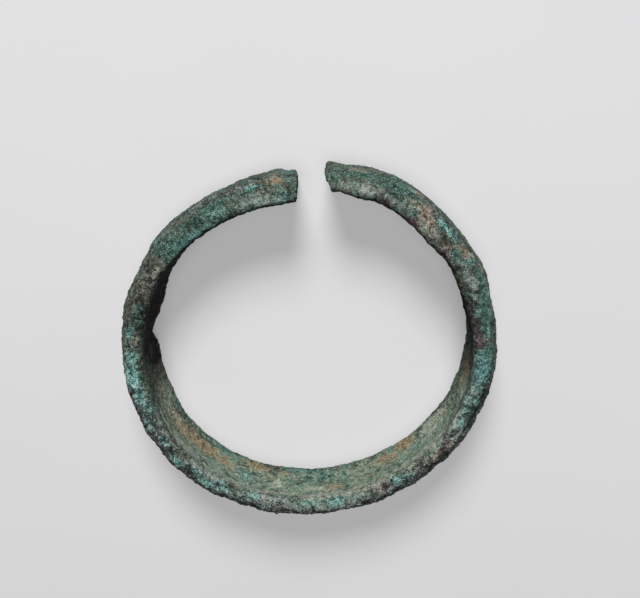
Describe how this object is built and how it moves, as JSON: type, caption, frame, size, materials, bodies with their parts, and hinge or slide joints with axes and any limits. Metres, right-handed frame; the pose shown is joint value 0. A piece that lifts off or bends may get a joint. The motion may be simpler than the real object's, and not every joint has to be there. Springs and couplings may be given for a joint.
{
  "type": "bracelet",
  "caption": "Open bronze bracelet: a broad band, bowed outside and lightly dished inside, bent round to a narrow gap, with a notch in its back rim and a broken corner at the gap.",
  "frame": {"origin": "middle of the bounding box, on the plane that the back rim rests on", "axes": "+Z along the axis of the hoop from the back rim to the front rim, +Y towards the gap, +X to the right when the gap is at the top and the front rim faces the viewer"},
  "size_m": [0.0712, 0.0692, 0.0137],
  "materials": {
    "patinated_bronze": "matt, crusted green patina over cast bronze"
  },
  "bodies": {
    "root": {"bracelet": "patinated_bronze"}
  },
  "joints": []
}
